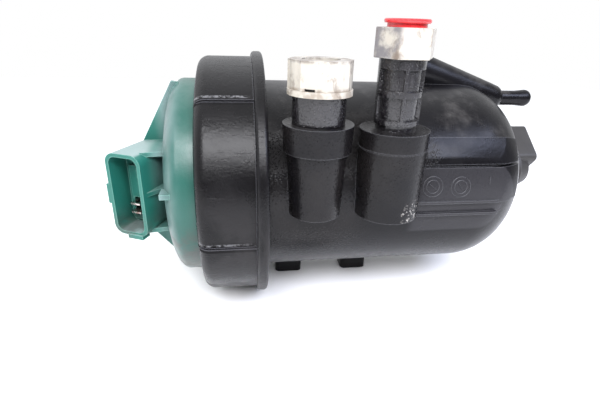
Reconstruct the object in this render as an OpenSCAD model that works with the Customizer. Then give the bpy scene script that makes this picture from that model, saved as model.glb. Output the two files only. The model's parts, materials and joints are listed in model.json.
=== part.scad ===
// Diesel fuel filter unit: a moulded bowl with two quick-connect ports and a bleed nipple,
// a pleated cartridge, a heated service cover held by a screwed ring nut, and a water sensor.
// Millimetres. X is the main axis, front is -Y, +Z is up. The origin is midway between the
// two bracket bolts, on the faces of the mounting feet. Inside the modules, s is the distance
// along the main axis from the left face of the ring nut's flange, and z is above that axis.

/* [Placement] */
// Height of the main axis above the faces of the mounting feet
axis_h = 60; // [60:0.5:64]
// Distance from the ring nut's flange to the middle of the bolt pattern
face_to_bolts = 38.5; // [37:0.5:40]
// Distance between the two bracket bolts
bolt_pitch = 38; // [37:0.5:39]
// Distance of the mounting feet behind the main axis
foot_y = 4.5; // [4:0.5:5]

/* [Bowl] */
// Outer radius of the bowl under the ring nut
bowl_r = 46; // [45.8:0.1:46.2]
// Outer radius of the bowl where its domed end begins
bowl_end_r = 45.7; // [45.5:0.1:45.8]
// Distance from the flange to the tip of the domed end
bowl_end_s = 130.8; // [130.4:0.1:131]
// Radius of the corner of the domed end
bowl_corner = 29.5; // [29:0.1:29.8]
// Inner radius of the bowl
cavity_r = 40.5; // [40.3:0.1:40.6]

/* [Ring nut] */
// Outer radius of the ring nut's flange
flange_r = 59; // [58.5:0.1:59.3]
// Thickness of the flange
flange_t = 5; // [4.6:0.1:5.2]
// Outer radius of the raised grip pads
pad_r = 56.7; // [56.5:0.1:56.9]
// Depth of the recesses between the pads
pad_step = 1.2; // [0.9:0.1:1.4]
// Pitch of the ring nut's thread
nut_pitch = 4; // [3.9:0.05:4]

/* [Cover] */
// Outer radius of the domed cover
dome_r = 46.6; // [46.3:0.1:46.8]
// How far the dome reaches past the flange's left face
dome_s = 39.4; // [39.2:0.1:39.6]
// Width of the heater connector
plug_w = 17; // [16.5:0.1:17.5]
// Height of the heater connector
plug_h = 37.5; // [37:0.5:38.5]
// Angle of the heater connector from the front towards the left
plug_tilt = 25; // [24:0.5:26]

/* [Ports] */
// Distance from the flange to the inlet's axis
inlet_s = 24.3; // [24:0.1:24.6]
// Distance from the flange to the outlet's axis
outlet_s = 55.3; // [55:0.1:55.6]
// Distance from the main axis forward to the ports' axes
port_y = 46; // [45.8:0.1:46.3]
// Bore for the inlet pipe
inlet_pipe_d = 9.7; // [9.6:0.05:9.8]
// Bore for the outlet pipe
outlet_pipe_d = 8.1; // [8:0.05:8.2]

/* [Cartridge] */
// Outer radius of the cartridge
cartridge_r = 35.5; // [34.5:0.1:35.6]
// Number of paper pleats
pleats = 54; // [36:1:60]

/* [Hidden] */

// Small gap between pieces that touch
gap = 0.05;
// Overlap that makes joined shapes one solid
weld = 0.5;
round_fn = 96;
small_fn = 48;

// Neck, thread and cover fit
neck_s = -15.7;
neck_r = 51.2;
neck_bore_r = 46.6;
nut_bore_r = 53.3;
male_tip_r = 52.7;
female_tip_r = 51.75;
thread_turns = 2.5;
thread_steps = 60;
male_start_s = -12;
female_start_s = male_start_s + nut_pitch / 2;
nut_end_s = -24;
nut_wall = 3.5;
nut_corner = 5;
nut_open_r = 48;
nut_pad_span = 57;
nut_pad_start = 50;
cover_flange_t = 4;
cover_flange_s = neck_s - cover_flange_t;
cover_wall = 3.6;
spigot_s = -4;
dome_corner_s = 8.2;
dome_corner_r = 24.3;

// Domed end and cavity
bowl_straight_s = bowl_end_s - bowl_corner;
cavity_end_s = bowl_end_s - 6;
cavity_corner = 25;
sensor_face_s = bowl_end_s + 1.2;
sensor_hole_r = 8;

// Outlet duct inside the bowl
duct_y = -41.2;
duct_z = 3;
duct_r = 2.6;
duct_wall_r = 4.2;
crossbar_s = 104;
crossbar_r = 4.6;
spout_r = 8.6;
spout_bore_r = 4.5;
spout_s = 88;

// Ports: heights above the main axis
boss_base_z = -1.2;
boss_top_z = 36.6;
rim_base_z = 25.8;
seat_r = 8;
seat_z = 18;
passage_r = 4;
inlet_rim_r = 13.9;
outlet_boss_r = 13.9;
inlet_stem_r = 10.35;
outlet_stem_r = 8.8;
outlet_core_r = 7.5;
spigot_r = seat_r - gap;
inlet_collar_z = [47.5, 60];
outlet_collar_z = [60.9, 71.4];
collar_top = 1.7;

// Heights inside a stem, above its foot
inlet_seal_z = 40 - seat_z;
inlet_chamber_z = 49 - seat_z;
inlet_head_z = 56 - seat_z;
outlet_seal_z = 51.5 - seat_z;
outlet_chamber_z = 60.5 - seat_z;
outlet_head_z = 67.2 - seat_z;
boss_depth = boss_top_z - seat_z;

// Bleed arm
arm_y = 4;
arm_from = [75, 54, 8.7];
arm_to = [124.8, 38.8, 6.3];
arm_len_s = arm_to[0] - arm_from[0];
arm_slope = atan2(arm_from[1] - arm_to[1], arm_len_s);
arm_len = norm([arm_len_s, arm_from[1] - arm_to[1]]);
nipple_z = 38.2;
nipple_r = 3.8;
nipple_bore_r = 2;
nipple_seat_s = 120;
nipple_end_s = 147.2;

// Mounting feet
foot_w = 14.6;
foot_depth = 11;
foot_corner = 2.5;
insert_r = 4.2;
insert_len = 12;
bolt_r = 2.5;

// Heater connector, in its own frame with the mouth at the origin facing -Y
plug_pos = [-54.6, -30.5, 1.3];
plug_depth = 24;
plug_wall = 1.6;
plug_well = 11;
plug_corner = 4.5;
blade_z = [-4.9, -9.1];
blade_w = 4.8;
blade_from = -4.1;
blade_t = 0.8;
leg_t = 0.6;

// Cartridge
cart_s = [-6, 98.5];
cap_t = 3.5;
tube_r = 15;
tube_wall = 1.6;
media_in_r = 16;
paper_t = 0.9;

// Water sensor
sensor_stem_s = 124;
sensor_collar_r = 13;
sensor_collar_s = 141.5;
sensor_plug = [11.5, 22.6, 15];
sensor_plug_yz = [4.8, 10];
sensor_plug_turn = 38.7;
sensor_plug_s = 141;

black = [0.07, 0.07, 0.08];
green = [0.05, 0.42, 0.31];
cream = [0.82, 0.79, 0.70];
red = [0.85, 0.10, 0.08];
rubber = [0.10, 0.10, 0.10];
steel = [0.70, 0.71, 0.73];
brass = [0.78, 0.62, 0.30];
paper = [0.88, 0.83, 0.66];
ceramic = [0.45, 0.45, 0.47];

// ---- helpers ----

// Places children at s along the axis, y to the back and z above the axis
module at(s, y, z) {
    translate([s - face_to_bolts, y - foot_y, axis_h + z]) children();
}

// Turns children so that their +Z runs along the main axis, starting at s
module along_x(s) {
    at(s, 0, 0) rotate([0, 90, 0]) children();
}

// Revolves a half profile of radius against s about the main axis
module revolve_x() {
    along_x(0) rotate_extrude($fn = round_fn) children();
}

// Tube or washer standing on the XY plane
module tube(r_out, r_in, h) {
    difference() {
        cylinder(h = h, r = r_out, $fn = round_fn);
        translate([0, 0, -1]) cylinder(h = h + 2, r = r_in, $fn = round_fn);
    }
}

// O-ring lying on the XY plane
module o_ring(r_mid, r_cord) {
    rotate_extrude($fn = round_fn) translate([r_mid, 0]) circle(r = r_cord, $fn = small_fn);
}

// Rounded rectangle centred on the origin
module rounded_rect(w, h, r) {
    square([w - 2 * r, h], center = true);
    square([w, h - 2 * r], center = true);
    for (x = [-1, 1], y = [-1, 1])
        translate([x * (w / 2 - r), y * (h / 2 - r)]) circle(r = r, $fn = small_fn);
}

// Quarter disc in the +X +Y quadrant
module quarter_disc(r) {
    intersection() {
        circle(r = r, $fn = round_fn);
        square(r);
    }
}

function ellipse_points(cx, cy, rx, ry, from, to, n) =
    [for (i = [0:n]) let (a = from + (to - from) * i / n) [cx + rx * cos(a), cy + ry * sin(a)]];

// Height of a thread ridge along its run: full in the middle, fading at both ends
function ridge_full(i, n) = min(1, 0.12 + 8 * min(i, n - i) / n);

// Four corners of a thread ridge at step i, rooted at r_root and reaching to r_tip
function ridge_ring(i, n, r_root, r_tip, base_w, tip_w) =
    let (a = 360 * i / thread_steps, s = nut_pitch * i / thread_steps)
    let (r_top = r_root + (r_tip - r_root) * ridge_full(i, n))
    [for (p = [[r_root, -base_w], [r_top, -tip_w], [r_top, tip_w], [r_root, base_w]])
        [p[0] * cos(a), p[0] * sin(a), s + p[1] / 2]];

// Right-hand helical ridge
module thread_ridge(r_root, r_tip, base_w, tip_w, turns) {
    n = turns * thread_steps;
    rings = [for (i = [0:n]) ridge_ring(i, n, r_root, r_tip, base_w, tip_w)];
    points = [for (ring = rings, p = ring) p];
    outward = r_tip > r_root;
    sides = [for (i = [0:n - 1], j = [0:3])
        let (k = (j + 1) % 4, a = 4 * i + j, b = 4 * i + k, c = 4 * i + 4 + k, d = 4 * i + 4 + j)
        outward ? [a, b, c, d] : [d, c, b, a]];
    first = outward ? [3, 2, 1, 0] : [0, 1, 2, 3];
    last = [for (v = first) 4 * n + 3 - v];
    polyhedron(points = points, faces = concat([first], sides, [last]), convexity = 10);
}

// ---- bowl ----

// Half profile of the bowl's outside, grown outwards by extra past the neck
module bowl_profile(extra = 0) {
    polygon([
        [0, neck_s], [neck_r, neck_s], [neck_r, 0.5], [bowl_r + extra, 5.5],
        [bowl_end_r + extra, bowl_straight_s], [0, bowl_straight_s]
    ]);
    translate([0, bowl_straight_s - weld])
        square([bowl_end_r - bowl_corner, bowl_corner + extra + weld]);
    translate([bowl_end_r - bowl_corner, bowl_straight_s]) quarter_disc(bowl_corner + extra);
    square([14, sensor_face_s]);
}

module cavity_profile() {
    straight = cavity_end_s - cavity_corner;
    polygon([
        [0, neck_s - 1], [neck_bore_r, neck_s - 1], [neck_bore_r, -3], [cavity_r, -1],
        [cavity_r, straight], [0, straight]
    ]);
    translate([0, straight - weld]) square([cavity_r - cavity_corner, cavity_corner + weld]);
    translate([cavity_r - cavity_corner, straight]) quarter_disc(cavity_corner);
}

// Boss of the inlet: a drafted tube with a deeper rim
module inlet_boss() {
    at(inlet_s, -port_y, boss_base_z)
        cylinder(h = rim_base_z - boss_base_z, r1 = 10.7, r2 = 12.1, $fn = round_fn);
    at(inlet_s, -port_y, rim_base_z)
        cylinder(h = boss_top_z - rim_base_z, r1 = 13.6, r2 = inlet_rim_r, $fn = round_fn);
}

module outlet_boss() {
    at(outlet_s, -port_y, boss_base_z - 0.8)
        cylinder(h = 35.2 - boss_base_z, r1 = 13.4, r2 = outlet_boss_r, $fn = round_fn);
    at(outlet_s, -port_y, 26.8) cylinder(h = 0.5, r = outlet_boss_r + 0.05, $fn = round_fn);
}

// Web that ties a boss back to the bowl
module boss_web(s) {
    at(s - 5, -port_y, boss_base_z + 1) cube([10, 22, 31]);
}

// Raised relief on the front of the bowl: sloped rail with a lip, flat pad and two ribs.
// It fades into the domed end, where it is trimmed a little outside the bowl.
module front_relief() {
    from_s = outlet_s + 5;
    len = 58;
    intersection() {
        union() {
            at(from_s, 0, 0) rotate([90, 0, 90]) linear_extrude(len) {
                polygon([[-33, 26], [-36.6, 27.9], [-42.5, 20.4], [-43.1, 17.4], [-38, 17.4]]);
                polygon([[-38, 16.4], [-44.1, 16.4], [-46.75, 1.6], [-38, 1.6]]);
            }
            at(from_s, -47.3, 0.8) cube([len - 4, 9, 1.2]);
            at(from_s, -47, -5) cube([len - 10, 9, 1.2]);
        }
        revolve_x() bowl_profile(1.8);
    }
}

// Sloping bleed arm on top of the bowl, with a web under it
module vent_arm() {
    at(arm_from[0], arm_y, arm_from[1]) sphere(r = arm_from[2], $fn = round_fn);
    at(arm_from[0], arm_y, arm_from[1]) rotate([0, 90 + arm_slope, 0])
        cylinder(h = arm_len, r1 = arm_from[2], r2 = arm_to[2], $fn = round_fn);
    at(arm_to[0], arm_y, arm_to[1]) sphere(r = arm_to[2], $fn = round_fn);
    at(arm_from[0] - 4, arm_y + 3.5, 0) rotate([90, 0, 0]) linear_extrude(7)
        polygon([[0, 42], [0, 52], [53, 37.5], [50, 32], [38, 36]]);
}

module feet() {
    for (x = [-1, 1])
        translate([x * bolt_pitch / 2, 0, 0])
            linear_extrude(axis_h - 43) rounded_rect(foot_w, foot_depth, foot_corner);
}

// Moulded outlet duct: along the wall, across the bowl, and the spout in the cartridge
module duct_walls() {
    intersection() {
        at(outlet_s, duct_y, duct_z) rotate([0, 90, 0])
            cylinder(h = crossbar_s - outlet_s, r = duct_wall_r, $fn = small_fn);
        revolve_x() bowl_profile();
    }
    intersection() {
        at(crossbar_s, -50, 0) rotate([-90, 0, 0]) cylinder(h = 100, r = crossbar_r, $fn = small_fn);
        along_x(0) cylinder(h = bowl_end_s, r = cavity_r + 1.5, $fn = round_fn);
    }
    along_x(spout_s) cylinder(h = crossbar_s + crossbar_r - spout_s, r = spout_r, $fn = round_fn);
}

module port_bore(s, floor_z) {
    at(s, -port_y, seat_z) cylinder(h = 30, r = seat_r, $fn = round_fn);
    at(s, -port_y, floor_z) cylinder(h = 30, r = passage_r, $fn = small_fn);
}

module duct_bores() {
    port_bore(inlet_s, 6);
    at(inlet_s, -port_y, 10) rotate([-90, 0, 0]) cylinder(h = 12, r = 3.5, $fn = small_fn);
    port_bore(outlet_s, duct_z - duct_r);
    at(outlet_s, -port_y, duct_z) rotate([-90, 0, 0])
        cylinder(h = port_y + duct_y, r = duct_r, $fn = small_fn);
    at(outlet_s, duct_y, duct_z) rotate([0, 90, 0])
        cylinder(h = crossbar_s - outlet_s, r = duct_r, $fn = small_fn);
    at(crossbar_s, duct_y, 0) rotate([-90, 0, 0]) cylinder(h = -duct_y, r = duct_r, $fn = small_fn);
    along_x(spout_s - 1) cylinder(h = crossbar_s + 2 - spout_s, r = spout_bore_r, $fn = small_fn);
}

module vent_bores() {
    at(nipple_seat_s, arm_y, nipple_z) rotate([0, 90, 0])
        cylinder(h = 20, r = nipple_r, $fn = small_fn);
    at(arm_from[0], arm_y, arm_from[1]) rotate([0, 90 + arm_slope, 0])
        cylinder(h = arm_len - 6, r = 2.6, $fn = small_fn);
    at(arm_from[0] + 2, arm_y, 38) cylinder(h = 14, r = 2.5, $fn = small_fn);
}

module housing() {
    color(black) difference() {
        union() {
            difference() {
                union() {
                    revolve_x() bowl_profile();
                    inlet_boss();
                    outlet_boss();
                    boss_web(inlet_s);
                    boss_web(outlet_s);
                    front_relief();
                    vent_arm();
                    feet();
                }
                revolve_x() cavity_profile();
            }
            duct_walls();
        }
        duct_bores();
        vent_bores();
        along_x(cavity_end_s - 3) cylinder(h = 20, r = sensor_hole_r, $fn = round_fn);
        for (x = [-1, 1])
            translate([x * bolt_pitch / 2, 0, -1])
                cylinder(h = insert_len + 2, r = insert_r + gap, $fn = small_fn);
    }
}

module housing_thread() {
    color(black) along_x(male_start_s)
        thread_ridge(neck_r + 0.08, male_tip_r, 1.9, 1.0, thread_turns);
}

module bracket_inserts() {
    color(brass) for (x = [-1, 1])
        translate([x * bolt_pitch / 2, 0, 0]) tube(insert_r, bolt_r, insert_len);
}

// ---- ring nut ----

module nut_skirt(r_out) {
    difference() {
        union() {
            translate([nut_open_r - 1, nut_end_s])
                square([r_out - nut_corner - nut_open_r + 1, -nut_end_s]);
            translate([nut_open_r - 1, nut_end_s + nut_corner])
                square([r_out - nut_open_r + 1, weld - nut_end_s - nut_corner]);
            translate([r_out - nut_corner, nut_end_s + nut_corner])
                circle(r = nut_corner, $fn = round_fn);
        }
        translate([0, nut_end_s - 1]) square([nut_open_r, -nut_end_s + 10]);
        translate([0, nut_end_s + nut_wall]) square([nut_bore_r, -nut_end_s + 10]);
    }
}

module nut_flange() {
    edge = 1.6;
    translate([nut_bore_r, 0]) square([flange_r - edge - nut_bore_r, flange_t]);
    translate([nut_bore_r, edge]) square([flange_r - nut_bore_r, flange_t - 2 * edge]);
    for (s = [edge, flange_t - edge])
        translate([flange_r - edge, s]) circle(r = edge, $fn = small_fn);
}

// Turns a local frame so that 0 degrees is the front and positive is towards the top
module from_front(angle) {
    along_x(0) rotate([0, 0, angle - 90]) children();
}

module ring_nut() {
    color(black) {
        revolve_x() nut_skirt(pad_r - pad_step);
        revolve_x() nut_flange();
        for (i = [0:2])
            from_front(-nut_pad_start - nut_pad_span + 120 * i)
                rotate_extrude(angle = nut_pad_span, $fn = round_fn) difference() {
                    nut_skirt(pad_r);
                    translate([0, nut_end_s - 1]) square([nut_bore_r + 1, -nut_end_s + 10]);
                }
    }
}

module ring_nut_thread() {
    color(black) along_x(female_start_s)
        thread_ridge(nut_bore_r - 0.02, female_tip_r, 1.9, 1.0, thread_turns);
}

module slip_ring() {
    color(cream) along_x(nut_end_s + nut_wall + gap)
        tube(nut_bore_r - 0.5, nut_open_r - 0.3, cover_flange_s - nut_end_s - nut_wall - 2 * gap);
}

// ---- service cover ----

module dome_profile(r, end_s) {
    crown = [0, end_s - 0.5];
    side = concat(
        ellipse_points(r - dome_corner_r, end_s + dome_corner_s, dome_corner_r, dome_corner_s,
            -90, 0, 12),
        [[r, spigot_s], [0, spigot_s]]
    );
    polygon(concat([crown], side));
}

module cover_profile() {
    difference() {
        union() {
            intersection() {
                dome_profile(dome_r, -dome_s);
                translate([0, -60]) square([60, 60 + neck_s]);
            }
            translate([0, cover_flange_s]) square([50.9, cover_flange_t]);
            translate([0, neck_s - weld])
                square([neck_bore_r - 0.3, spigot_s - neck_s + weld]);
        }
        dome_profile(dome_r - cover_wall, -dome_s + 3);
        translate([0, spigot_s - 1]) square([dome_r - cover_wall, 2]);
        translate([44.1, -11.2]) square([4, 3]);
    }
}

// Places children in the heater connector's frame, mouth at the origin facing -Y
module at_plug() {
    at(plug_pos[0], plug_pos[1], plug_pos[2]) rotate([0, 0, -plug_tilt]) children();
}

module plug_block(w, h, depth, r) {
    rotate([-90, 0, 0]) linear_extrude(depth) rounded_rect(w, h, r);
}

// Frame that joins the connector to the dome: plates above and below, and a rib
module plug_frame() {
    plate = [[-47.5, -29], [-37, -27], [-36, -8], [-49, -8]];
    rib = [[-47.2, -33.4], [-38.4, -24], [-36, -10], [-43, -10]];
    for (z = [plug_pos[2] + plug_h / 2 - 2, plug_pos[2] - plug_h / 2])
        at(0, 0, z) linear_extrude(2) polygon(plate);
    at(0, 0, 1.3) linear_extrude(1.8) polygon(rib);
}

// Stiffening webs from the connector to the top and bottom of the dome
module plug_gussets() {
    at(0, -6, 0) rotate([90, 0, 0]) linear_extrude(2.4)
        polygon([[-51, 18], [-35.4, 46.5], [-32.5, 46.1], [-32, 30], [-37, 12]]);
    at(0, -6, 0) rotate([90, 0, 0]) linear_extrude(2.4)
        polygon([[-49, -16], [-49, -27.5], [-40.5, -37.7], [-34, -42], [-33, -12]]);
}

module plug_details() {
    at_plug() translate([-plug_w / 2 - 1.2, 0, -4.5]) cube([2, 5, 9]);
    at_plug() translate([-1.5, -0.8, -plug_h / 2 - 1.2]) cube([7.5, 5, 2]);
    at(-38.5, -44.4, 5) cube([6, 7, 2.2]);
}

module cover() {
    color(green) difference() {
        union() {
            revolve_x() cover_profile();
            at_plug() plug_block(plug_w, plug_h, plug_depth, plug_corner);
            plug_frame();
            plug_gussets();
            plug_details();
        }
        along_x(0) rotate_extrude($fn = round_fn)
            dome_profile(dome_r - cover_wall, -dome_s + 3);
        difference() {
            at_plug() translate([0, -1, 0]) plug_block(
                plug_w - 2 * plug_wall, plug_h - 2 * plug_wall, plug_well + 1, plug_corner - 1.2
            );
            at_plug() translate([-5, plug_well - 1.2, -15.5]) cube([12, 2, 26]);
        }
        for (z = blade_z) {
            blade(z, 0.1);
            at_plug() translate([blade_from, plug_well - 2, z - plug_pos[2]]) cube([blade_w, 3, 1.8]);
        }
    }
}

// One heater terminal: a blade in the connector and a leg through the dome
module blade(z, clear) {
    at_plug() translate([blade_from - clear, 6.5, z - plug_pos[2] - blade_t - clear])
        cube([blade_w + 2 * clear, 8.5 + clear, blade_t + 2 * clear]);
    at(-52 - clear, -19.6 - clear, z - blade_t + 0.1 - clear)
        cube([30.8 + 2 * clear, blade_w + 2 * clear, leg_t + 2 * clear]);
}

module heater_terminals() {
    color(brass) for (z = blade_z)
        blade(z, 0);
}

module cover_seal() {
    color(rubber) along_x(-9.7) o_ring(45.35, 1.2);
}

// ---- heater inside the cover ----

module heater_carrier() {
    color(black) along_x(-16) difference() {
        union() {
            cylinder(h = 3, r = 42.6, $fn = round_fn);
            translate([0, 0, 2]) cylinder(h = 5, r = 14, $fn = round_fn);
        }
        translate([0, 0, -1]) cylinder(h = 9, r = 11, $fn = round_fn);
        for (a = [0:60:300])
            rotate([0, 0, a + 30]) translate([29, 0, -1]) cylinder(h = 6, r = 8, $fn = small_fn);
    }
}

module heater_plate() {
    color(steel) along_x(-17.6) difference() {
        cylinder(h = 1.5, r = 31, $fn = round_fn);
        for (a = [0:60:300])
            rotate([0, 0, a]) translate([17, 0, -1]) cylinder(h = 4, r = 3, $fn = small_fn);
    }
}

module heater_pills() {
    color(ceramic) for (a = [30, 150, 270])
        along_x(-20.2) rotate([0, 0, a]) translate([20, 0, 0]) cylinder(h = 2.5, r = 6, $fn = small_fn);
}

module heater_contact() {
    color(brass) along_x(-21.1) tube(26.5, 16, 0.8);
}

module thermo_switch() {
    color(steel) at(-29, 20, 8) rotate([0, 90, 0]) {
        cylinder(h = 6, r = 6, $fn = small_fn);
        translate([0, 0, 5.5]) cylinder(h = 1.6, r = 7.5, $fn = small_fn);
    }
}

// ---- cartridge ----

// One side of the pleated paper: a zigzag between two radii
function pleat_line(r_a, r_b) =
    [for (i = [0:2 * pleats - 1])
        let (a = 180 * i / pleats, r = i % 2 == 0 ? r_a : r_b) [r * cos(a), r * sin(a)]];

module filter_media() {
    outer = pleat_line(cartridge_r - 1.5, media_in_r + paper_t);
    inner = pleat_line(cartridge_r - 1.5 - 2 * paper_t, media_in_r);
    color(paper) along_x(cart_s[0] + cap_t + gap) difference() {
        linear_extrude(cart_s[1] - cart_s[0] - 2 * cap_t - 2 * gap) polygon(outer);
        translate([0, 0, -1]) linear_extrude(cart_s[1] - cart_s[0]) polygon(inner);
    }
}

module centre_tube() {
    rows = 8;
    len = cart_s[1] - cart_s[0] - 2 * cap_t - 2 * gap;
    color(black) along_x(cart_s[0] + cap_t + gap) difference() {
        tube(tube_r, tube_r - tube_wall, len);
        for (i = [1:rows], a = [0:60:120])
            translate([0, 0, len * (i - 0.5) / rows]) rotate([90, 0, a + 30 * (i % 2)])
                cylinder(h = 2 * tube_r + 2, r = 3.4, center = true, $fn = small_fn);
    }
}

module cartridge_top_cap() {
    color(black) along_x(cart_s[0]) difference() {
        union() {
            cylinder(h = cap_t, r = cartridge_r, $fn = round_fn);
            translate([0, 0, -5]) cylinder(h = 5 + weld, r = 10.8, $fn = round_fn);
        }
        translate([0, 0, -6]) cylinder(h = 7, r = 8, $fn = round_fn);
    }
}

module cartridge_bottom_cap() {
    color(black) along_x(cart_s[1] - cap_t) difference() {
        cylinder(h = cap_t, r = cartridge_r, $fn = round_fn);
        translate([0, 0, -1]) cylinder(h = cap_t + 2, r = spout_r + 0.3, $fn = round_fn);
        translate([0, 0, 0.8]) cylinder(h = 2, r = spout_r + 1.9, $fn = round_fn);
    }
}

module cartridge_seal() {
    color(rubber) along_x(cart_s[1] - cap_t + 1.8) o_ring(spout_r + 0.97, 0.88);
}

// ---- quick-connect ports ----

// Bores of a port stem: pipe bore, seal chamber, and collar chamber at the top
module stem_bores(pipe_r, seal_r, chamber_r, seal_z, chamber_z) {
    translate([0, 0, -1]) cylinder(h = 80, r = pipe_r, $fn = round_fn);
    translate([0, 0, seal_z]) cylinder(h = 60, r = seal_r, $fn = round_fn);
    translate([0, 0, chamber_z]) cylinder(h = 60, r = chamber_r, $fn = round_fn);
}

// Part of a stem that plugs into its boss, with the groove for its seal
module stem_spigot() {
    difference() {
        cylinder(h = boss_top_z - seat_z, r = spigot_r, $fn = round_fn);
        translate([0, 0, 9]) tube(spigot_r + 1, spigot_r - 1.7, 2.2);
    }
}

module inlet_stem() {
    color(black) at(inlet_s, -port_y, seat_z + gap) difference() {
        union() {
            stem_spigot();
            translate([0, 0, boss_depth])
                cylinder(h = inlet_head_z - boss_depth, r = inlet_stem_r, $fn = round_fn);
        }
        stem_bores(inlet_pipe_d / 2, 7.4, 8.5, inlet_seal_z, inlet_chamber_z);
    }
}

// Sector of a ring, opening from angle a over span degrees
module ring_sector(r_in, r_out, h, a, span) {
    rotate([0, 0, a]) rotate_extrude(angle = span, $fn = round_fn)
        translate([r_in, 0]) square([r_out - r_in, h]);
}

module outlet_stem() {
    window_z = [38.6 - seat_z, 49.4 - seat_z];
    window_h = [8.6, 7.8];
    color(black) at(outlet_s, -port_y, seat_z + gap) difference() {
        union() {
            stem_spigot();
            translate([0, 0, boss_depth])
                cylinder(h = outlet_head_z - boss_depth, r = outlet_stem_r, $fn = round_fn);
        }
        stem_bores(outlet_pipe_d / 2, 6.2, 6.9, outlet_seal_z, outlet_chamber_z);
        for (i = [0, 1], a = [-172, -92, 8, 88])
            translate([0, 0, window_z[i]])
                ring_sector(outlet_core_r, outlet_stem_r + 1, window_h[i], a, 71);
    }
}

module stem_seal(s) {
    color(rubber) at(s, -port_y, seat_z + gap + 10.1) o_ring(spigot_r - 0.85, 0.8);
}

module inlet_stem_seal() {
    stem_seal(inlet_s);
}

module outlet_stem_seal() {
    stem_seal(outlet_s);
}

// Two pipe seals with room for the spacer between them
module pipe_seals(s, z, pipe_r, seal_r) {
    cord = (seal_r - pipe_r) / 2 - 0.08;
    color(rubber) for (dz = [cord + 0.1, 8.8 - cord])
        at(s, -port_y, z + gap + dz) o_ring((seal_r + pipe_r) / 2, cord);
}

module inlet_pipe_seals() {
    pipe_seals(inlet_s, 40, inlet_pipe_d / 2, 7.4);
}

module outlet_pipe_seals() {
    pipe_seals(outlet_s, 51.5, outlet_pipe_d / 2, 6.2);
}

module inlet_spacer() {
    color(cream) at(inlet_s, -port_y, 40 + 3.1) tube(7.3, 5.2, 2.8);
}

module outlet_spacer() {
    color(cream) at(outlet_s, -port_y, 51.5 + 2.6) tube(6.1, 4.4, 3.8);
}

// Toothed steel ring that grips the pipe's bead
module grab_ring(r_out, r_in) {
    difference() {
        tube(r_out, r_in, 0.6);
        for (a = [0:60:300])
            rotate([0, 0, a]) translate([0, -0.5, -1]) cube([r_out - 1.2, 1, 3]);
    }
}

module inlet_grab_ring() {
    color(steel) at(inlet_s, -port_y, 49 + 2 * gap) grab_ring(8.4, 5.3);
}

module outlet_grab_ring() {
    color(steel) at(outlet_s, -port_y, 60.5 + 2 * gap) grab_ring(6.8, 4.5);
}

// Release collar: a cap over the stem's head with a sleeve that reaches the grab ring
module collar_bores(h, skirt_r, sleeve_r, open_r) {
    translate([0, 0, -1]) tube(skirt_r, sleeve_r, h - collar_top + 1);
    translate([0, 0, -1]) cylinder(h = h + 2, r = open_r, $fn = round_fn);
}

module inlet_collar() {
    h = inlet_collar_z[1] - inlet_collar_z[0];
    sleeve_z = 52.6 - inlet_collar_z[0];
    color(cream) at(inlet_s, -port_y, inlet_collar_z[0]) difference() {
        union() {
            cylinder(h = h, r = 12.3, $fn = 8);
            cylinder(h = h, r = 11.75, $fn = round_fn);
            cylinder(h = 2.2, r = 12.4, $fn = round_fn);
        }
        collar_bores(h, inlet_stem_r + 0.3, 8.2, 7.1);
        translate([0, 0, -1]) cylinder(h = sleeve_z + 1, r = inlet_stem_r + 0.3, $fn = round_fn);
        translate([-7.2, -13, 2.2]) cube([3.4, 5, 0.9]);
    }
}

module outlet_collar() {
    h = outlet_collar_z[1] - outlet_collar_z[0];
    sleeve_z = 64 - outlet_collar_z[0];
    color(cream) at(outlet_s, -port_y, outlet_collar_z[0]) difference() {
        cylinder(h = h, r = 11.6, $fn = 6);
        collar_bores(h, outlet_stem_r + 0.25, 6.5, 5.6);
        translate([0, 0, -1]) cylinder(h = sleeve_z + 1, r = outlet_stem_r + 0.25, $fn = round_fn);
    }
}

module transport_plug() {
    color(red) at(outlet_s, -port_y, 0) rotate_extrude($fn = round_fn) polygon([
        [0, 72.2], [3.8, 72.2], [3.8, 62.4], [5.2, 62.4], [5.3, 71.45], [7.2, 71.45],
        [7.2, 72.8], [8.1, 72.8], [8.4, 73.2], [8.4, 73.9], [8, 74.3], [0, 74.3]
    ]);
}

// ---- bleed nipple ----

module vent_nipple() {
    color(black) at(0, arm_y, nipple_z) rotate([0, 90, 0]) difference() {
        union() {
            translate([0, 0, nipple_seat_s + gap])
                cylinder(h = nipple_end_s - 3 - nipple_seat_s, r = nipple_r - gap, $fn = small_fn);
            rotate_extrude($fn = small_fn) polygon(concat(
                [[0, nipple_end_s - 9], [nipple_r - 0.1, nipple_end_s - 9]],
                ellipse_points(1.4, nipple_end_s - 3.2, 2.9, 3.2, 0, 80, 6),
                [[0, nipple_end_s]]
            ));
        }
        translate([0, 0, nipple_seat_s - 1]) cylinder(h = 40, r = nipple_bore_r, $fn = small_fn);
    }
}

// ---- water sensor ----

// Places children on the sensor's connector, +Z along the main axis and Y across its long side
module at_sensor_plug(s) {
    at(s, sensor_plug_yz[0], sensor_plug_yz[1]) rotate([sensor_plug_turn, 0, 0])
        rotate([0, 90, 0]) children();
}

module water_sensor() {
    color(black) difference() {
        union() {
            along_x(sensor_stem_s)
                cylinder(h = 12, r = sensor_hole_r - gap, $fn = round_fn);
            along_x(sensor_face_s + gap)
                cylinder(h = sensor_collar_s - sensor_face_s, r = sensor_collar_r, $fn = round_fn);
            along_x(sensor_collar_s)
                cylinder(h = 8, r1 = sensor_collar_r - 1, r2 = 8, $fn = round_fn);
            at_sensor_plug(sensor_plug_s - 3) linear_extrude(sensor_plug[0] + 3)
                rounded_rect(sensor_plug[2], sensor_plug[1], 2.8);
        }
        at_sensor_plug(sensor_plug_s + 2) linear_extrude(sensor_plug[0])
            rounded_rect(sensor_plug[2] - 3, sensor_plug[1] - 3, 1.4);
        along_x(sensor_face_s - 1) tube(10.95, 8.65, 3);
        sensor_pins(0.05);
        sensor_blades(0.1);
    }
}

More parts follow.
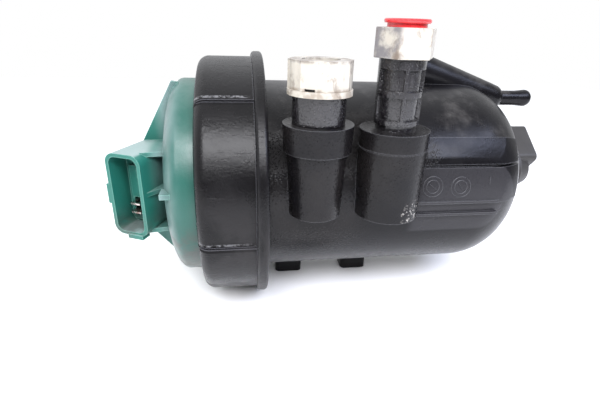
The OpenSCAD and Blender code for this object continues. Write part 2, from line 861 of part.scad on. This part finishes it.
// Probe pins that reach into the bowl
module sensor_pins(clear) {
    for (y = [-4, 4])
        at(113, y, 0) rotate([0, 90, 0]) cylinder(h = 13 + clear, r = 1.1 + clear, $fn = small_fn);
}

// Contact blades in the sensor's connector
module sensor_blades(clear) {
    for (y = [-5.5, 5.5])
        at_sensor_plug(sensor_plug_s - 2 - clear)
            translate([-0.4 - clear, y - 1.2 - clear, 0])
                cube([0.8 + 2 * clear, 2.4 + 2 * clear, 10 + 2 * clear]);
}

module sensor_probes() {
    color(steel) sensor_pins(0);
}

module sensor_terminals() {
    color(brass) sensor_blades(0);
}

module sensor_seal() {
    color(rubber) along_x(sensor_face_s + 1.02) o_ring(9.8, 0.95);
}

housing();
housing_thread();
bracket_inserts();
ring_nut();
ring_nut_thread();
slip_ring();
cover();
cover_seal();
heater_carrier();
heater_plate();
heater_pills();
heater_contact();
heater_terminals();
thermo_switch();
filter_media();
centre_tube();
cartridge_top_cap();
cartridge_bottom_cap();
cartridge_seal();
inlet_stem();
inlet_stem_seal();
inlet_pipe_seals();
inlet_spacer();
inlet_grab_ring();
inlet_collar();
outlet_stem();
outlet_stem_seal();
outlet_pipe_seals();
outlet_spacer();
outlet_grab_ring();
outlet_collar();
transport_plug();
vent_nipple();
water_sensor();
sensor_terminals();
sensor_probes();
sensor_seal();
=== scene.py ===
import json
from math import cos, degrees, pi, radians, sin

import bmesh
import bpy
from mathutils import Matrix, Vector


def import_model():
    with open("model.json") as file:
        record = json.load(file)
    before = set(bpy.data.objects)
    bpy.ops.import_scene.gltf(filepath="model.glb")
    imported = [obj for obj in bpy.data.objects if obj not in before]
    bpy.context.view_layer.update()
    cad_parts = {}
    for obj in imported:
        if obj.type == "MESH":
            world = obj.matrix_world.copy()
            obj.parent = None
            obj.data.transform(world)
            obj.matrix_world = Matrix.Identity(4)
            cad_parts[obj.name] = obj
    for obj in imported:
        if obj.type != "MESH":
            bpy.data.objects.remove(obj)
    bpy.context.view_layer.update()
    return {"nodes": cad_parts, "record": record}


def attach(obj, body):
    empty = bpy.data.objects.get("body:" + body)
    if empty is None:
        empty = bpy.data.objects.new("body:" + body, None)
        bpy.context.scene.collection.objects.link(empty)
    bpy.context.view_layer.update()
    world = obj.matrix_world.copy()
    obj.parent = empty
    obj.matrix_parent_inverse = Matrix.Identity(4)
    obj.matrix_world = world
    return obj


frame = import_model()
MM = 0.001

# The main axis, the ports and other places on the object, in the shared frame, in metres
AXIS_Y, AXIS_Z = -0.0045, 0.060
S0 = -0.0385
INLET_X, OUTLET_X, PORT_Y = 0.0243 + S0, 0.0553 + S0, -0.0505
# Where the ring nut's rim meets its skirt, and the edges of its raised pads, every 120 degrees
RIM_X, UPPER_STEP, LOWER_STEP = -0.0388, 50.0, -13.0


def place(s, y, z):
    """A point given in mm from the ring nut's flange, behind the axis and above it."""
    return Vector((s * MM + S0, y * MM + AXIS_Y, z * MM + AXIS_Z))


# ---------------------------------------------------------------- materials

class Mat:
    """A node material with short calls for its noises, masks and mixes."""

    def __init__(self, name, **sockets):
        self.mat = bpy.data.materials.new(name)
        self.mat.use_nodes = True
        self.tree = self.mat.node_tree
        self.bsdf = self.tree.nodes["Principled BSDF"]
        self.pos = self.tree.nodes.new("ShaderNodeTexCoord").outputs["Object"]
        for key, value in sockets.items():
            self.bsdf.inputs[key.replace("_", " ")].default_value = value

    def put(self, socket, value):
        if isinstance(value, bpy.types.NodeSocket):
            self.tree.links.new(value, socket)
        elif isinstance(value, tuple) and len(value) == 3 and socket.type == "RGBA":
            socket.default_value = (*value, 1)
        else:
            socket.default_value = value

    def set(self, key, value):
        self.put(self.bsdf.inputs[key], value)

    def math(self, op, a, b=0.0, clamp=False):
        n = self.tree.nodes.new("ShaderNodeMath")
        n.operation = op
        n.use_clamp = clamp
        self.put(n.inputs[0], a)
        self.put(n.inputs[1], b)
        return n.outputs[0]

    def noise(self, scale, detail=3.0, rough=0.55, warp=0.0, stretch=None, seed=0.0):
        n = self.tree.nodes.new("ShaderNodeTexNoise")
        n.noise_dimensions = "4D"
        n.inputs["W"].default_value = seed
        n.inputs["Scale"].default_value = scale
        n.inputs["Detail"].default_value = detail
        n.inputs["Roughness"].default_value = rough
        n.inputs["Distortion"].default_value = warp
        vec = self.pos
        if stretch:
            m = self.tree.nodes.new("ShaderNodeMapping")
            m.inputs["Scale"].default_value = stretch
            self.tree.links.new(self.pos, m.inputs["Vector"])
            vec = m.outputs[0]
        self.tree.links.new(vec, n.inputs["Vector"])
        return n.outputs["Fac"]

    def cells(self, scale, randomness=1.0):
        n = self.tree.nodes.new("ShaderNodeTexVoronoi")
        n.inputs["Scale"].default_value = scale
        n.inputs["Randomness"].default_value = randomness
        self.tree.links.new(self.pos, n.inputs["Vector"])
        return n.outputs["Distance"]

    def ramp(self, value, lo, hi, out_lo=0.0, out_hi=1.0):
        n = self.tree.nodes.new("ShaderNodeMapRange")
        n.interpolation_type = "SMOOTHSTEP"
        for key, v in zip(("Value", "From Min", "From Max", "To Min", "To Max"),
                          (value, lo, hi, out_lo, out_hi)):
            self.put(n.inputs[key], v)
        return n.outputs[0]

    def mix(self, fac, a, b):
        n = self.tree.nodes.new("ShaderNodeMix")
        n.data_type = "RGBA"
        self.put(n.inputs[0], fac)
        self.put(n.inputs[6], a)
        self.put(n.inputs[7], b)
        return n.outputs[2]

    def times(self, *values):
        out = values[0]
        for v in values[1:]:
            out = self.math("MULTIPLY", out, v)
        return out

    def axis(self, i):
        n = self.tree.nodes.new("ShaderNodeSeparateXYZ")
        self.tree.links.new(self.pos, n.inputs[0])
        return n.outputs[i]

    def normal(self, i):
        g = self.tree.nodes.new("ShaderNodeNewGeometry")
        n = self.tree.nodes.new("ShaderNodeSeparateXYZ")
        self.tree.links.new(g.outputs["Normal"], n.inputs[0])
        return n.outputs[i]

    def step_line(self, period, at, width):
        """1 on lines along the bowl's axis, at these angles above the front, in degrees."""
        up = self.math("SUBTRACT", self.axis(2), AXIS_Z)
        front = self.math("SUBTRACT", AXIS_Y, self.axis(1))
        turn = self.math("MULTIPLY", self.math("ARCTAN2", up, front), degrees(1))
        out = 0.0
        for a in at:
            away = self.math("PINGPONG", self.math("SUBTRACT", turn, a), period / 2)
            out = self.math("MAXIMUM", out, self.ramp(away, 0.45 * width, width, 1.0, 0.0))
        return out

    def near(self, point, r_full, r_none):
        """1 within r_full of the point, fading to 0 at r_none."""
        n = self.tree.nodes.new("ShaderNodeVectorMath")
        n.operation = "DISTANCE"
        self.tree.links.new(self.pos, n.inputs[0])
        n.inputs[1].default_value = point
        return self.ramp(n.outputs["Value"], r_full, r_none, 1.0, 0.0)

    def edges(self, radius, gain=6.0):
        """Grows towards 1 on sharp edges."""
        bevel = self.tree.nodes.new("ShaderNodeBevel")
        bevel.samples = 4
        bevel.inputs["Radius"].default_value = radius
        g = self.tree.nodes.new("ShaderNodeNewGeometry")
        dot = self.tree.nodes.new("ShaderNodeVectorMath")
        dot.operation = "DOT_PRODUCT"
        self.tree.links.new(bevel.outputs[0], dot.inputs[0])
        self.tree.links.new(g.outputs["Normal"], dot.inputs[1])
        turned = self.math("SUBTRACT", 1.0, dot.outputs["Value"])
        return self.math("MULTIPLY", turned, gain, clamp=True)

    def crevice(self, distance):
        """1 in corners and gaps, 0 in the open."""
        n = self.tree.nodes.new("ShaderNodeAmbientOcclusion")
        n.samples = 4
        n.inputs["Distance"].default_value = distance
        return self.math("SUBTRACT", 1.0, n.outputs["AO"], clamp=True)

    def bump(self, *layers):
        """Each layer is (height, depth in metres)."""
        last = None
        for height, depth in layers:
            n = self.tree.nodes.new("ShaderNodeBump")
            n.inputs["Distance"].default_value = depth
            n.inputs["Strength"].default_value = 1.0
            self.put(n.inputs["Height"], height)
            if last:
                self.tree.links.new(last, n.inputs["Normal"])
            last = n.outputs[0]
        self.tree.links.new(last, self.bsdf.inputs["Normal"])


def wet_zone(m):
    """The oily area round the two ports, on the front of the bowl."""
    a = m.near((INLET_X - 0.003, PORT_Y + 0.006, 0.080), 0.017, 0.034)
    b = m.near((OUTLET_X - 0.004, PORT_Y + 0.006, 0.078), 0.014, 0.032)
    low = m.near((INLET_X - 0.002, PORT_Y + 0.008, 0.062), 0.016, 0.036)
    return m.math("MAXIMUM", m.math("MAXIMUM", a, b), low)


def black_plastic():
    m = Mat("black_plastic", Specular_IOR_Level=0.2)
    up = m.ramp(m.normal(2), 0.15, 0.95)
    patch = m.noise(28, 5, 0.6, seed=1)
    dust = m.times(up, m.ramp(m.noise(70, 6, 0.65, seed=2), 0.45, 0.75), 0.22)
    base = m.mix(patch, (0.0026, 0.0024, 0.0028), (0.0062, 0.0058, 0.0070))
    base = m.mix(dust, base, (0.20, 0.19, 0.18))
    wet = m.times(wet_zone(m), m.ramp(patch, 0.36, 0.56))
    pad = m.times(m.ramp(m.axis(1), -0.0479, -0.0484), m.ramp(m.axis(0), 0.028, 0.032),
                  m.ramp(m.axis(2), 0.0770, 0.0764))
    base = m.mix(m.times(pad, 0.6), base, (0.035, 0.034, 0.037))
    base = m.mix(wet, base, (0.009, 0.008, 0.008))
    drops = m.ramp(m.cells(820), 0.05, 0.45, 1.0, 0.0)
    grime = m.times(wet_zone(m), m.ramp(m.axis(1), -0.0500, -0.0460), m.ramp(m.axis(2), 0.092, 0.084))
    bead = m.ramp(m.cells(1300), 0.10, 0.48, 1.0, 0.0)
    dirt = m.times(m.near((OUTLET_X + 0.007, PORT_Y - 0.0101, 0.0615), 0.003, 0.0075),
                   m.ramp(m.noise(900, 5, 0.7, seed=42), 0.55, 0.60))
    base = m.mix(m.times(dirt, 0.8), base, (0.50, 0.47, 0.43))
    m.set("Base Color", m.mix(m.times(m.edges(0.0006, 5), 0.40), base, (0.17, 0.17, 0.18)))
    rough = m.ramp(m.noise(52, 4, 0.6, seed=3), 0.3, 0.7, 0.25, 0.33)
    wet_rough = m.ramp(m.noise(160, 3, seed=4), 0.35, 0.65, 0.12, 0.30)
    dull = m.times(grime, m.math("SUBTRACT", 1.0, bead))
    m.set("Roughness", m.math("MAXIMUM", m.mix(wet, rough, wet_rough), m.times(dull, 0.75)))
    m.bump((m.noise(24, 2, 0.5, seed=5), 0.00006), (m.noise(900, 4, 0.65, seed=6), 0.00008),
           (m.times(drops, wet_zone(m)), 0.00008), (m.times(bead, grime), 0.00040))
    return m.mat


def ring_plastic():
    m = Mat("ring_plastic", Specular_IOR_Level=0.2)
    smear = m.noise(34, 6, 0.62, 0.6, stretch=(1.0, 1.0, 0.45), seed=7)
    low = m.ramp(m.axis(2), 0.078, 0.050)
    film = m.times(low, m.ramp(smear, 0.50, 0.60), 0.6)
    base = m.mix(m.noise(60, 4, seed=8), (0.0020, 0.0018, 0.0020), (0.0060, 0.0056, 0.0062))
    base = m.mix(film, base, (0.022, 0.0205, 0.021))
    base = m.mix(m.times(m.edges(0.0007, 6), 0.45), base, (0.20, 0.20, 0.22))
    on_skirt = m.ramp(m.axis(0), RIM_X + 0.0005, RIM_X - 0.0005)
    # Painted highlight, partly wear: ragged lighter lines on the pad side of each step, where the lit
    # edge is
    wear_and_step_highlight = m.times(m.step_line(120, (UPPER_STEP + 1.6, LOWER_STEP + 1.2), 0.8), on_skirt,
                   m.ramp(m.noise(420, 4, 0.7, seed=44), 0.44, 0.56))
    groove = m.times(m.step_line(120, (UPPER_STEP - 0.1, LOWER_STEP - 1.0), 1.2), on_skirt)
    base = m.mix(m.times(wear_and_step_highlight, 0.38), base, (0.30, 0.30, 0.31))
    m.set("Base Color", base)
    scratch = m.ramp(m.noise(90, 4, 0.7, 1.5, stretch=(0.25, 6.0, 6.0), seed=9), 0.60, 0.68)
    rough = m.ramp(m.noise(75, 5, 0.65, seed=10), 0.3, 0.7, 0.21, 0.33)
    rough = m.math("ADD", rough, m.times(m.math("ADD", film, m.times(scratch, 0.3)), 0.25))
    m.set("Roughness", m.math("MAXIMUM", rough, m.times(groove, 0.9)))
    m.bump((m.noise(30, 2, 0.5, seed=11), 0.00016), (m.noise(420, 3, 0.6, seed=41), 0.00008),
           (m.noise(1000, 4, 0.7, seed=43), 0.00011), (scratch, 0.00004))
    return m.mat


def oily_plastic():
    m = Mat("oily_plastic", Coat_Weight=0.6, Coat_Roughness=0.08)
    blotch = m.noise(110, 5, 0.6, seed=12)
    m.set("Base Color", m.mix(blotch, (0.0035, 0.0030, 0.0036), (0.012, 0.0105, 0.0125)))
    m.set("Roughness", m.ramp(blotch, 0.35, 0.65, 0.14, 0.38))
    m.bump((m.noise(60, 2, seed=13), 0.0003),
           (m.ramp(m.cells(1150), 0.08, 0.46, 1.0, 0.0), 0.00022),
           (m.noise(1500, 2), 0.00004))
    return m.mat


def green_plastic():
    m = Mat("green_plastic")
    # Painted shade: the one green plastic as a lighter and a darker copy, the darker one from x =
    # -0.0765 rightwards
    light = m.mix(m.noise(30, 4, 0.6, seed=14), (0.009, 0.098, 0.075), (0.016, 0.145, 0.112))
    dark = m.mix(m.noise(30, 4, 0.6, seed=14), (0.004, 0.055, 0.041), (0.009, 0.090, 0.068))
    base = m.mix(m.ramp(m.axis(0), -0.0795, -0.0765), light, dark)
    shoulder = m.ramp(m.axis(0), -0.067, -0.0765)
    not_plug = m.ramp(m.axis(0), -0.084, -0.078)
    # Painted sheen, partly dust: whitish blue patches on the cover's rounded shoulder
    shoulder_sheen_and_dust = m.times(shoulder, not_plug, m.ramp(m.noise(40, 6, 0.6, stretch=(1, 1, 0.4), seed=15),
                                               0.30, 0.62), 0.42)
    base = m.mix(shoulder_sheen_and_dust, base, (0.33, 0.40, 0.41))
    up = m.times(m.ramp(m.normal(2), 0.35, 0.95), m.ramp(m.noise(90, 5, 0.6, seed=16), 0.35, 0.65))
    base = m.mix(m.times(up, 0.06), base, (0.42, 0.50, 0.48))
    # Painted highlight: the plug's upward faces lightened to whitish grey
    plug_top = m.times(m.ramp(m.normal(2), 0.80, 0.97), m.ramp(m.axis(0), -0.080, -0.085))
    base = m.mix(m.times(plug_top, 0.42), base, (0.46, 0.49, 0.50))
    low = m.times(m.ramp(m.axis(2), 0.058, 0.040), m.ramp(m.noise(55, 6, 0.7, 0.4, seed=17), 0.44, 0.60))
    base = m.mix(m.times(low, 0.75), base, (0.055, 0.050, 0.044))
    # Painted shade: darker green in corners and gaps
    base = m.mix(m.times(m.crevice(0.005), 0.6), base, (0.008, 0.035, 0.028))
    base = m.mix(m.times(m.edges(0.0006, 5), 0.55), base, (0.20, 0.42, 0.35))
    m.set("Base Color", base)
    m.set("Roughness", m.ramp(m.noise(70, 5, 0.6, seed=18), 0.3, 0.7, 0.28, 0.46))
    m.bump((m.noise(26, 2, 0.5, seed=19), 0.00025), (m.noise(800, 4, 0.7, seed=46), 0.00007))
    return m.mat


def cream_plastic():
    m = Mat("cream_plastic", Subsurface_Weight=0.06, Subsurface_Radius=(0.002, 0.0015, 0.001))
    base = m.mix(m.noise(60, 4, 0.6, seed=20), (0.385, 0.350, 0.290), (0.51, 0.485, 0.430))
    grey = m.times(m.ramp(m.axis(0), OUTLET_X - 0.003, OUTLET_X - 0.007),
                   m.ramp(m.axis(2), 0.119, 0.121),
                   m.ramp(m.noise(150, 6, 0.65, seed=21), 0.38, 0.60))
    base = m.mix(m.times(grey, 0.85), base, (0.11, 0.105, 0.12))
    stain = m.ramp(m.noise(120, 6, 0.7, 0.8, seed=22), 0.52, 0.64)
    base = m.mix(m.times(stain, 0.65), base, (0.17, 0.14, 0.115))
    smear = m.ramp(m.noise(90, 5, 0.65, 0.5, stretch=(1, 1, 0.3), seed=45), 0.60, 0.68)
    base = m.mix(m.times(smear, 0.6), base, (0.13, 0.085, 0.055))
    lip = m.times(m.ramp(m.axis(2), 0.1112, 0.1103), m.ramp(m.noise(210, 5, 0.6, seed=39), 0.42, 0.58))
    base = m.mix(m.times(lip, 0.5), base, (0.13, 0.085, 0.05))
    rim = m.times(m.ramp(m.axis(2), 0.1186, 0.1196), m.ramp(m.axis(2), 0.1206, 0.1203),
                  m.ramp(m.noise(160, 5, 0.6, seed=40), 0.45, 0.55))
    base = m.mix(m.times(rim, 0.55), base, (0.10, 0.075, 0.06))
    base = m.mix(m.times(m.crevice(0.003), 0.7), base, (0.12, 0.09, 0.065))
    m.set("Base Color", base)
    m.set("Roughness", m.ramp(m.noise(90, 4, seed=23), 0.3, 0.7, 0.30, 0.45))
    m.bump((m.noise(80, 3, seed=24), 0.00012), (m.noise(1500, 2), 0.00002))
    return m.mat


def red_plastic():
    m = Mat("red_plastic", Coat_Weight=0.3, Coat_Roughness=0.1)
    m.set("Base Color", m.mix(m.noise(150, 3, seed=25), (0.62, 0.016, 0.022), (0.74, 0.035, 0.040)))
    m.set("Roughness", m.ramp(m.noise(200, 3, seed=26), 0.3, 0.7, 0.2, 0.34))
    m.bump((m.noise(300, 3, seed=27), 0.00005))
    return m.mat


def sensor_plastic():
    m = Mat("sensor_plastic")
    base = m.mix(m.noise(80, 5, 0.6, seed=28), (0.013, 0.0125, 0.0125), (0.036, 0.033, 0.030))
    base = m.mix(m.times(m.edges(0.0005, 5), 0.3), base, (0.15, 0.15, 0.15))
    m.set("Base Color", base)
    m.set("Roughness", m.ramp(m.noise(110, 4, seed=29), 0.3, 0.7, 0.42, 0.58))
    m.bump((m.noise(1200, 3, 0.6), 0.00005), (m.noise(60, 2, seed=30), 0.0002))
    return m.mat


def moulded(name, dark, light, rough):
    m = Mat(name)
    m.set("Base Color", m.mix(m.noise(70, 4, seed=31), dark, light))
    m.set("Roughness", m.ramp(m.noise(90, 3, seed=32), 0.3, 0.7, rough - 0.07, rough + 0.07))
    m.bump((m.noise(1400, 2, 0.6), 0.00003), (m.noise(50, 2, seed=33), 0.0001))
    return m.mat


def metal(name, dark, light, rough, stretch):
    m = Mat(name, Metallic=1.0)
    m.set("Base Color", m.mix(m.noise(200, 4, seed=34), dark, light))
    brushed = m.noise(500, 3, 0.7, stretch=stretch, seed=35)
    m.set("Roughness", m.ramp(brushed, 0.3, 0.7, rough - 0.06, rough + 0.1))
    m.bump((brushed, 0.00002))
    return m.mat


def filter_paper():
    m = Mat("filter_paper", Sheen_Weight=0.2)
    m.set("Base Color", m.mix(m.noise(260, 6, 0.7, seed=36), (0.62, 0.50, 0.28), (0.80, 0.70, 0.48)))
    m.set("Roughness", m.ramp(m.noise(300, 3, seed=37), 0.3, 0.7, 0.75, 0.9))
    m.bump((m.noise(1500, 5, 0.7), 0.00008))
    return m.mat


def terminal_metal():
    m = Mat("terminal_metal", Metallic=1.0)
    tarnish = m.ramp(m.noise(350, 5, 0.6, seed=38), 0.42, 0.62)
    m.set("Base Color", m.mix(tarnish, (0.62, 0.54, 0.50), (0.34, 0.24, 0.21)))
    m.set("Roughness", m.ramp(tarnish, 0.0, 1.0, 0.22, 0.45))
    m.bump((m.noise(900, 3), 0.00003))
    return m.mat


MATERIALS = {
    "black_plastic": black_plastic(),
    "ring_plastic": ring_plastic(),
    "oily_plastic": oily_plastic(),
    "green_plastic": green_plastic(),
    "cream_plastic": cream_plastic(),
    "red_plastic": red_plastic(),
    "sensor_plastic": sensor_plastic(),
    "inner_plastic": moulded("inner_plastic", (0.030, 0.030, 0.032), (0.055, 0.055, 0.058), 0.42),
    "cap_plastic": moulded("cap_plastic", (0.075, 0.077, 0.082), (0.11, 0.11, 0.115), 0.4),
    "rubber": moulded("rubber", (0.012, 0.012, 0.012), (0.024, 0.023, 0.022), 0.62),
    "heater_ceramic": moulded("heater_ceramic", (0.20, 0.20, 0.21), (0.32, 0.32, 0.33), 0.55),
    "brass": metal("brass", (0.62, 0.42, 0.16), (0.80, 0.60, 0.28), 0.28, (1, 1, 0.08)),
    "steel": metal("steel", (0.50, 0.51, 0.53), (0.68, 0.69, 0.71), 0.26, (0.08, 1, 1)),
    "aluminium": metal("aluminium", (0.66, 0.67, 0.69), (0.82, 0.83, 0.85), 0.3, (1, 0.1, 1)),
    "terminal_metal": terminal_metal(),
    "filter_paper": filter_paper(),
}


# ---------------------------------------------------------------- CAD nodes

EDGE_MM = {
    "housing": 0.45, "ring_nut": 0.7, "cover": 0.4, "water_sensor": 0.6, "inlet_collar": 0.35,
    "outlet_collar": 0.35, "inlet_stem": 0.3, "outlet_stem": 0.3, "vent_nipple": 0.2,
    "bracket_inserts": 0.2, "cartridge_top_cap": 0.3, "cartridge_bottom_cap": 0.3,
}
SLOT = {p["node"]: p["material_slot"] for p in frame["record"]["subparts"]}

for name, ob in frame["nodes"].items():
    me = ob.data
    me.materials.clear()
    me.materials.append(MATERIALS[SLOT[name]])
    if "custom_normal" in me.attributes:
        me.attributes.remove(me.attributes["custom_normal"])
    me.shade_smooth()
    weld = ob.modifiers.new("weld", "WELD")
    weld.merge_threshold = 0.000004
    if name in EDGE_MM:
        bevel = ob.modifiers.new("edges", "BEVEL")
        bevel.width = EDGE_MM[name] * MM
        bevel.segments = 2
        bevel.limit_method = "ANGLE"
        bevel.angle_limit = radians(38)
        bevel.harden_normals = True
    split = ob.modifiers.new("hard", "EDGE_SPLIT")
    split.split_angle = radians(38)


# ---------------------------------------------------------------- detail pieces

def piece(name, bm, slot, body):
    me = bpy.data.meshes.new(name)
    bmesh.ops.recalc_face_normals(bm, faces=bm.faces)
    bm.to_mesh(me)
    bm.free()
    me.shade_smooth()
    ob = bpy.data.objects.new(name, me)
    bpy.context.scene.collection.objects.link(ob)
    me.materials.append(MATERIALS[slot])
    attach(ob, body)
    return ob


def ring_loop(bm, points, section):
    """Sweeps a closed section, given per point, along a closed loop of frames."""
    rows = [[bm.verts.new(p) for p in section(frame_at)] for frame_at in points]
    for i, row in enumerate(rows):
        nxt = rows[(i + 1) % len(rows)]
        for j in range(len(row)):
            k = (j + 1) % len(row)
            bm.faces.new((row[j], row[k], nxt[k], nxt[j]))


def ridge_ring(name, centre, u, v, out, radius, half_w, height, slot, body, steps=72):
    """A low rounded ridge that runs in a circle and stands out of a surface along out."""
    bm = bmesh.new()
    u, v, out = Vector(u).normalized(), Vector(v).normalized(), Vector(out).normalized()
    angles = [2 * pi * i / steps for i in range(steps)]

    def section(a):
        radial = u * cos(a) + v * sin(a)
        base = centre + radial * radius
        arc = [pi * k / 6 for k in range(7)]
        top = [base + radial * (half_w * cos(t)) + out * (height * sin(t)) for t in arc]
        return top + [base - radial * half_w - out * height, base + radial * half_w - out * height]

    ring_loop(bm, angles, section)
    return piece(name, bm, slot, body)


def ridge_bar(name, centre, along, out, length, half_w, height, slot, body, steps=14):
    """A low rounded bar on a surface, with round ends."""
    bm = bmesh.new()
    along, out = Vector(along).normalized(), Vector(out).normalized()
    side = along.cross(out)
    rows = []
    for i in range(steps + 1):
        t = 2.0 * i / steps - 1.0
        w = half_w * max(0.08, (1 - abs(t) ** 6)) ** 0.5
        mid = centre + along * (t * length / 2)
        arc = [pi * k / 6 for k in range(7)]
        row = [mid + side * (w * cos(a)) + out * (height * sin(a)) for a in arc]
        row += [mid - side * w - out * height, mid + side * w - out * height]
        rows.append([bm.verts.new(p) for p in row])
    for a, b in zip(rows, rows[1:]):
        for j in range(len(a)):
            k = (j + 1) % len(a)
            bm.faces.new((a[j], a[k], b[k], b[j]))
    bm.faces.new(rows[0])
    bm.faces.new(rows[-1])
    return piece(name, bm, slot, body)


# Two plain round mould marks, and one small rib, on the flat pad of the bowl
PAD_OUT, RIGHT, PAD_UP = Vector((0, -0.984, 0.176)), Vector((1, 0, 0)), Vector((0, 0.176, 0.984))


def on_pad(s, z):
    """A point on the bowl's flat pad, at s and z mm."""
    return place(s, -44.1 - (16.4 - z) * 0.179, z)


for i, (s, z, turn) in enumerate(((76.0, 8.5, -38), (88.9, 8.1, -50))):
    mark = on_pad(s, z)
    for ring, radius in (("outer", 4.5), ("inner", 2.9)):
        ridge_ring(f"mould_mark_{i + 1}_{ring}", mark, RIGHT, PAD_UP, PAD_OUT, radius * MM,
                   0.22 * MM, 0.22 * MM, "black_plastic", "housing")
    along = RIGHT * cos(radians(turn)) + PAD_UP * sin(radians(turn))
    ridge_bar(f"mould_mark_{i + 1}_bar", mark, along, PAD_OUT, 3.8 * MM, 0.25 * MM, 0.25 * MM,
              "black_plastic", "housing")
ridge_bar("pad_tick", on_pad(102.3, 10.6), PAD_UP, PAD_OUT, 3.4 * MM, 0.25 * MM, 0.25 * MM,
          "black_plastic", "housing")


# ---------------------------------------------------------------- floor, light and camera

FLOOR_TONE = 0.92
FLOOR_SIZE, FLOOR_CELLS = 1.6, 24
SENSOR_MM, LENS_MM = 36, 24.66


def floor():
    bm = bmesh.new()
    n, size = FLOOR_CELLS, FLOOR_SIZE
    rows = [[bm.verts.new((size * (i / n - 0.5), size * (j / n - 0.5), -0.0002))
             for i in range(n + 1)] for j in range(n + 1)]
    for j in range(n):
        for i in range(n):
            bm.faces.new((rows[j][i], rows[j][i + 1], rows[j + 1][i + 1], rows[j + 1][i]))
    me = bpy.data.meshes.new("floor")
    bm.to_mesh(me)
    bm.free()
    ob = bpy.data.objects.new("floor", me)
    bpy.context.scene.collection.objects.link(ob)
    m = Mat("floor_paper", Specular_IOR_Level=0.1)
    m.set("Base Color", (FLOOR_TONE, FLOOR_TONE, FLOOR_TONE))
    m.set("Roughness", m.ramp(m.noise(400, 2), 0.3, 0.7, 0.7, 0.8))
    me.materials.append(m.mat)


def world():
    """A soft gradient, brighter above, behind and to the left. The camera itself sees plain white."""
    w = bpy.data.worlds.new("studio")
    bpy.context.scene.world = w
    w.use_nodes = True
    t = w.node_tree
    t.nodes.clear()
    coord = t.nodes.new("ShaderNodeTexCoord")
    sep = t.nodes.new("ShaderNodeSeparateXYZ")
    t.links.new(coord.outputs["Generated"], sep.inputs[0])

    def ramp(value, lo, hi, a, b):
        n = t.nodes.new("ShaderNodeMapRange")
        n.interpolation_type = "SMOOTHSTEP"
        t.links.new(value, n.inputs["Value"])
        for key, v in zip(("From Min", "From Max", "To Min", "To Max"), (lo, hi, a, b)):
            n.inputs[key].default_value = v
        return n.outputs[0]

    def math(op, a, b):
        n = t.nodes.new("ShaderNodeMath")
        n.operation = op
        for sock, v in zip(n.inputs, (a, b)):
            if isinstance(v, bpy.types.NodeSocket):
                t.links.new(v, sock)
            else:
                sock.default_value = v
        return n.outputs[0]

    overhead = ramp(sep.outputs[2], 0.15, 0.85, 0.0, 1.15)
    overhead = math("MULTIPLY", overhead, ramp(sep.outputs[0], 0.08, 0.48, 1.0, 0.28))
    behind = ramp(sep.outputs[1], -0.35, 0.45, 0.08, 0.85)
    left = ramp(sep.outputs[0], -0.55, -0.95, 0.0, 0.8)
    level = math("ADD", math("ADD", overhead, behind), left)
    glow = t.nodes.new("ShaderNodeBackground")
    glow.inputs["Color"].default_value = (0.96, 0.97, 1.0, 1)
    t.links.new(level, glow.inputs["Strength"])
    seen = t.nodes.new("ShaderNodeBackground")
    seen.inputs["Color"].default_value = (1, 1, 1, 1)
    seen.inputs["Strength"].default_value = 1.0
    path = t.nodes.new("ShaderNodeLightPath")
    mix = t.nodes.new("ShaderNodeMixShader")
    t.links.new(path.outputs["Is Camera Ray"], mix.inputs[0])
    t.links.new(glow.outputs[0], mix.inputs[1])
    t.links.new(seen.outputs[0], mix.inputs[2])
    out = t.nodes.new("ShaderNodeOutputWorld")
    t.links.new(mix.outputs[0], out.inputs["Surface"])


def softbox(name, at, target, w, h, power, color):
    data = bpy.data.lights.new(name, "AREA")
    data.shape = "RECTANGLE"
    data.size, data.size_y = w, h
    data.energy = power
    data.color = color
    ob = bpy.data.objects.new(name, data)
    bpy.context.scene.collection.objects.link(ob)
    ob.location = at
    ob.rotation_euler = (Vector(target) - Vector(at)).to_track_quat("-Z", "Y").to_euler()


def camera():
    data = bpy.data.cameras.new("camera")
    data.sensor_width = SENSOR_MM
    data.lens = LENS_MM
    data.clip_start = 0.01
    ob = bpy.data.objects.new("camera", data)
    bpy.context.scene.collection.objects.link(ob)
    right, up, ahead = (Vector((0.99028, -0.13589, 0.02981)), Vector((0.02725, 0.39960, 0.91628)),
                        Vector((0.13643, 0.90656, -0.39942)))
    m = Matrix.Identity(4)
    for i in range(3):
        m[i][0], m[i][1], m[i][2] = right[i], up[i], -ahead[i]
    m.translation = place(-5.139, -200.724, 72.402)
    ob.matrix_world = m
    bpy.context.scene.camera = ob


floor()
world()
softbox("key", (-0.05, -0.482, 0.515), (0.0, -0.04, 0.07), 0.60, 0.28, 8.0, (0.96, 0.96, 1.0))
softbox("side", (0.35, -0.34, 0.47), (0.05, -0.04, 0.08), 0.42, 0.18, 2.2, (0.66, 0.73, 1.0))
camera()
bpy.context.scene.view_settings.view_transform = "Standard"
